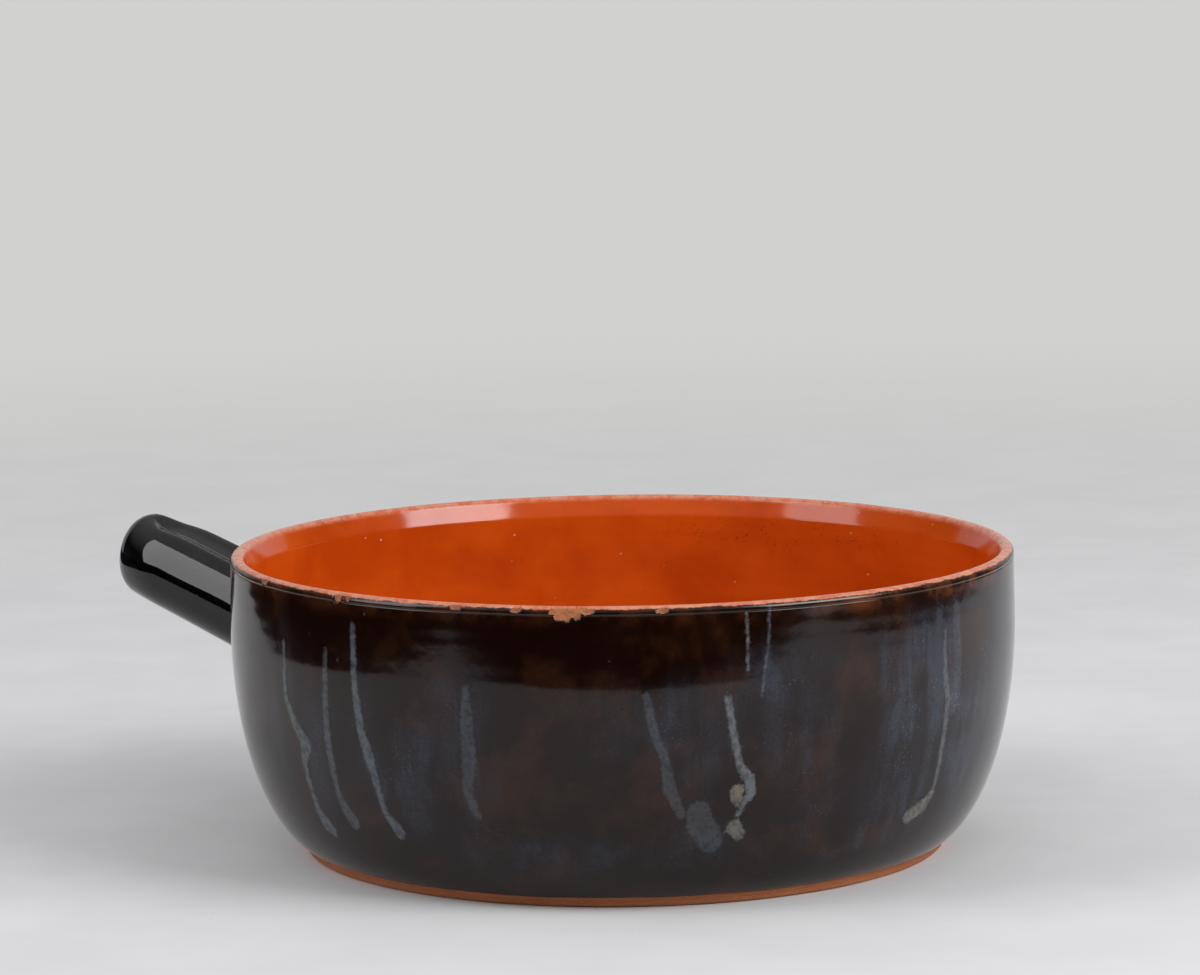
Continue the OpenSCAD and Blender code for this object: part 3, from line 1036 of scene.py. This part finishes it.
def make_softbox(name, azimuth, elevation, distance, width, height, level):
    """A soft lamp seen from the pot at that azimuth, right of the camera, and elevation, in
    degrees. Its level is about the share of white that it gives the table."""
    a, e = math.radians(azimuth), math.radians(elevation)
    place = LOOK_AT + distance * Vector((math.sin(a) * math.cos(e), -math.cos(a) * math.cos(e), math.sin(e)))
    data = bpy.data.lights.new(name, "AREA")
    data.shape = "RECTANGLE"
    data.size, data.size_y = width, height
    data.energy = level * math.pi**2 * distance**2 / math.sin(e)
    lamp = add_object(name, data)
    lamp.matrix_world = TURN @ Matrix.Translation(place) @ (place - LOOK_AT).to_track_quat("Z", "Y").to_matrix().to_4x4()
    return lamp


def make_floor():
    """A plain pale table. Far from the pot the camera sees an even background instead, and
    glossy surfaces see the dark room beyond the table's edges."""
    size = 14.0
    mesh = bpy.data.meshes.new("floor")
    mesh.from_pydata([(-size, -size, 0), (size, -size, 0), (size, size, 0), (-size, size, 0)], [], [(0, 1, 2, 3)])
    floor = add_object("floor", mesh)
    floor.matrix_world = TURN @ Matrix.Translation((0, 0, -0.0002))
    n = Nodes("floor_look")
    parts = n.add("ShaderNodeSeparateXYZ")
    n.feed(parts.inputs[0], n.coordinates)
    x, y, _ = parts.outputs
    far = n.math("SQRT", n.plus(n.times(x, x), n.times(y, y)))
    rays = n.add("ShaderNodeLightPath")
    beyond = n.math("MAXIMUM", n.step(y, TABLE_FRONT + 0.004, TABLE_FRONT - 0.004),
                    n.math("MAXIMUM", n.step(x, TABLE_LEFT + 0.004, TABLE_LEFT - 0.004),
                           n.step(x, TABLE_RIGHT - 0.004, TABLE_RIGHT + 0.004)))
    tone = n.mix(n.step(n.noise(60, 3, 0.6), 0.3, 0.7), (0.775, 0.775, 0.785), (0.735, 0.735, 0.745))
    specks = n.times(n.step(n.cells(9), 0.05, 0.02), n.step(n.noise(40, 1), 0.5, 0.6))
    tone = n.mix(n.times(specks, 0.5), tone, (0.30, 0.28, 0.27))
    tone = n.mix(n.times(rays.outputs["Is Glossy Ray"], beyond), tone, (0.004, 0.004, 0.005))
    shader = n.add("ShaderNodeBsdfDiffuse")
    n.feed(shader.inputs["Color"], tone)
    glow = n.add("ShaderNodeEmission")
    n.feed(glow.inputs["Color"], BACKGROUND)
    faded = n.times(rays.outputs["Is Camera Ray"], n.step(far, 0.35, 1.6))
    seen = n.add("ShaderNodeMixShader")
    n.feed(seen.inputs[0], faded)
    n.feed(seen.inputs[1], shader.outputs[0])
    n.feed(seen.inputs[2], glow.outputs[0])
    clear = n.add("ShaderNodeBsdfTransparent")
    one_sided = n.add("ShaderNodeMixShader")
    n.feed(one_sided.inputs[0], n.add("ShaderNodeNewGeometry").outputs["Backfacing"])
    n.feed(one_sided.inputs[1], seen.outputs[0])
    n.feed(one_sided.inputs[2], clear.outputs[0])
    n.feed(n.output.inputs["Surface"], one_sided.outputs[0])
    mesh.materials.append(n.material)


def make_world():
    """Soft light from above over a dark room, and an even pale background for the camera."""
    world = bpy.data.worlds.new("studio")
    bpy.context.scene.world = world
    world.use_nodes = True
    tree = world.node_tree
    tree.nodes.clear()

    def add(kind):
        return tree.nodes.new(kind)

    direction = add("ShaderNodeTexCoord")
    parts = add("ShaderNodeSeparateXYZ")
    tree.links.new(direction.outputs["Generated"], parts.inputs[0])
    ramp = add("ShaderNodeValToRGB")
    tree.links.new(parts.outputs["Z"], ramp.inputs[0])
    ramp.color_ramp.elements[0].position = 0.25
    ramp.color_ramp.elements[0].color = (0.02, 0.02, 0.02, 1)
    ramp.color_ramp.elements[1].position = 0.85
    ramp.color_ramp.elements[1].color = (0.62, 0.62, 0.63, 1)
    room = add("ShaderNodeBackground")
    tree.links.new(ramp.outputs[0], room.inputs["Color"])
    plain = add("ShaderNodeBackground")
    plain.inputs["Color"].default_value = (*BACKGROUND, 1)
    rays = add("ShaderNodeLightPath")
    mix = add("ShaderNodeMixShader")
    tree.links.new(rays.outputs["Is Camera Ray"], mix.inputs[0])
    tree.links.new(room.outputs[0], mix.inputs[1])
    tree.links.new(plain.outputs[0], mix.inputs[2])
    output = add("ShaderNodeOutputWorld")
    tree.links.new(mix.outputs[0], output.inputs["Surface"])


def make_backdrop():
    """A pale sheet that stands behind the table for glossy surfaces to see."""
    mesh = bpy.data.meshes.new("backdrop")
    mesh.from_pydata([(-1.6, 1.5, 0), (1.6, 1.5, 0), (1.6, 1.6, 1.1), (-1.6, 1.6, 1.1)], [], [(3, 2, 1, 0)])
    sheet = add_object("backdrop", mesh)
    sheet.matrix_world = TURN
    sheet.visible_camera = False
    n = Nodes("backdrop_look")
    shader = n.add("ShaderNodeBsdfDiffuse")
    n.feed(shader.inputs["Color"], (0.78, 0.78, 0.78))
    n.feed(n.output.inputs["Surface"], shader.outputs[0])
    mesh.materials.append(n.material)


make_camera()
make_floor()
make_backdrop()
make_world()
make_softbox("key_right", 60, 30, 1.7, 1.0, 0.8, 0.36)
make_softbox("fill_left", -73, 29, 1.7, 0.75, 1.5, 0.20)
bpy.context.scene.view_settings.view_transform = "Standard"
